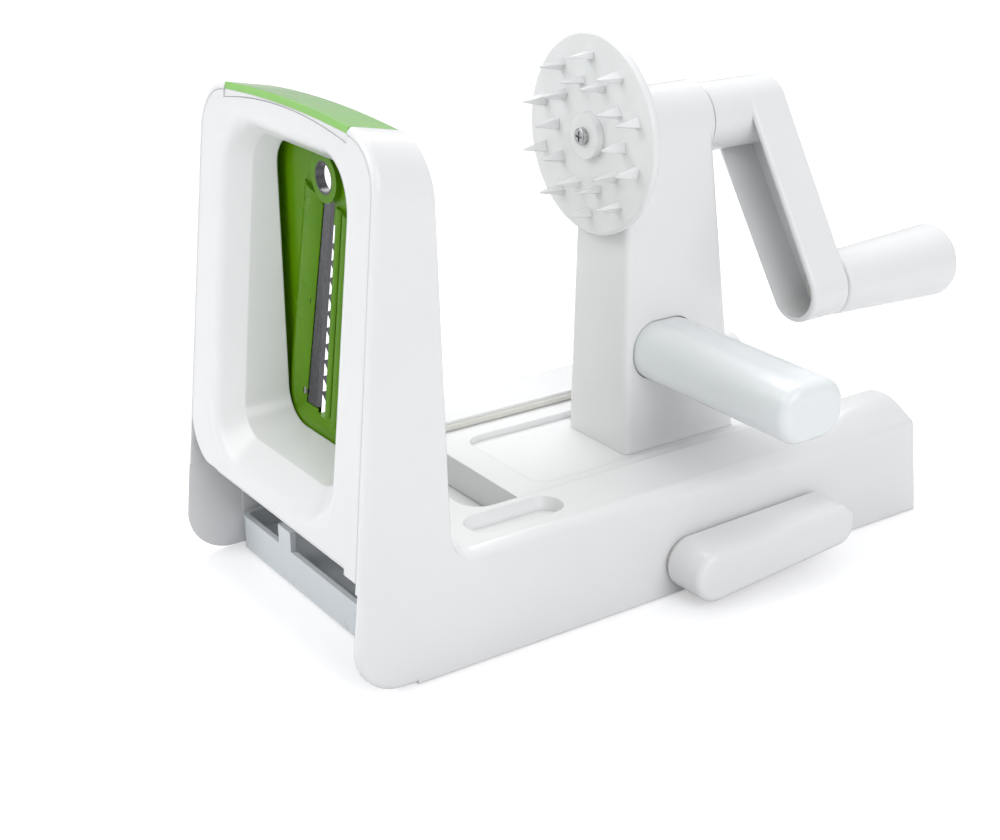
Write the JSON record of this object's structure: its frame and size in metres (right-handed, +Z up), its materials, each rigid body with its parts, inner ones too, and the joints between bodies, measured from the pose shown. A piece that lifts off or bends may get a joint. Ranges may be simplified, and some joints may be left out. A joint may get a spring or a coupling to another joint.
{
  "type": "hand-cranked spiralizer",
  "caption": "Table-top spiralizer: vegetable pressed by a hand-cranked spiked disc on a sliding tower against an upright green blade cartridge.",
  "frame": {"origin": "on the table, midway across, where the front stretch of the suction pad's lip seals", "axes": "+X along the spindle from the blade arch to the crank, +Y to the side away from the push handle, +Z up"},
  "size_m": [0.3066, 0.1737, 0.206],
  "materials": {
    "body_white": "moulded, glossy",
    "handle_white": "moulded, glossy",
    "cartridge_green": "moulded, satin gloss",
    "cap_green": "moulded, glossy",
    "blade_steel": "ground",
    "rivet_steel": "plain",
    "screw_steel": "plated",
    "shaft_steel": "turned",
    "tray_grey": "moulded, satin",
    "bush_nylon": "moulded, satin",
    "pad_rubber": "smooth silicone",
    "foot_rubber": "matt"
  },
  "bodies": {
    "base": {"body_shell": "body_white", "front_bezel": "body_white", "base_tray": "tray_grey", "tray_screws": "screw_steel", "rubber_feet": "foot_rubber", "suction_pad": "pad_rubber", "lever_bush": "bush_nylon", "hold_down_strips": "bush_nylon"},
    "cartridge": {"cartridge_frame": "cartridge_green", "slicing_blade": "blade_steel", "comb_blade": "blade_steel", "coring_ring": "blade_steel", "blade_rivets": "rivet_steel", "cartridge_head": "body_white", "cartridge_cap": "cap_green"},
    "carriage": {"carriage_plate": "body_white", "tower_shell": "body_white", "tower_screws": "screw_steel", "front_bush": "bush_nylon", "rear_bush": "bush_nylon", "push_handle": "handle_white", "handle_screw": "screw_steel"},
    "crank": {"spindle_shaft": "shaft_steel", "spiked_disc": "body_white", "disc_screw": "screw_steel", "crank_arm": "body_white", "crank_screw": "screw_steel", "knob_pin": "bush_nylon"},
    "knob": {"crank_knob": "body_white"},
    "lever": {"suction_lever": "body_white", "cam_shaft": "shaft_steel"},
    "stem": {"suction_stem": "bush_nylon"}
  },
  "joints": [
    {"name": "carriage_slide", "type": "slide", "parent": "base", "child": "carriage", "axis": [-1, 0, 0], "range_m": [-0.03, 0.086]},
    {"name": "crank_spin", "type": "hinge", "parent": "carriage", "child": "crank", "pos_m": [0.1085, 0, 0.167], "axis": [1, 0, 0], "continuous": true},
    {"name": "knob_spin", "type": "hinge", "parent": "crank", "child": "knob", "pos_m": [0.2115, -0.04305, 0.10171], "axis": [1, 0, 0], "continuous": true},
    {"name": "cartridge_lift", "type": "slide", "parent": "base", "child": "cartridge", "axis": [0, 0, 1], "range_m": [0, 0.135]},
    {"name": "suction_lever_turn", "type": "hinge", "parent": "base", "child": "lever", "pos_m": [0.0801, -0.07, 0.0144], "axis": [0, -1, 0], "range_deg": [0, 35]},
    {"name": "stem_slide", "type": "slide", "parent": "base", "child": "stem", "axis": [0, 0, -1], "range_m": [0, 0.0018]}
  ],
  "couplings": [
    {"joint": "stem_slide", "follows": "suction_lever_turn", "m_per_rad": 0.002817}
  ]
}
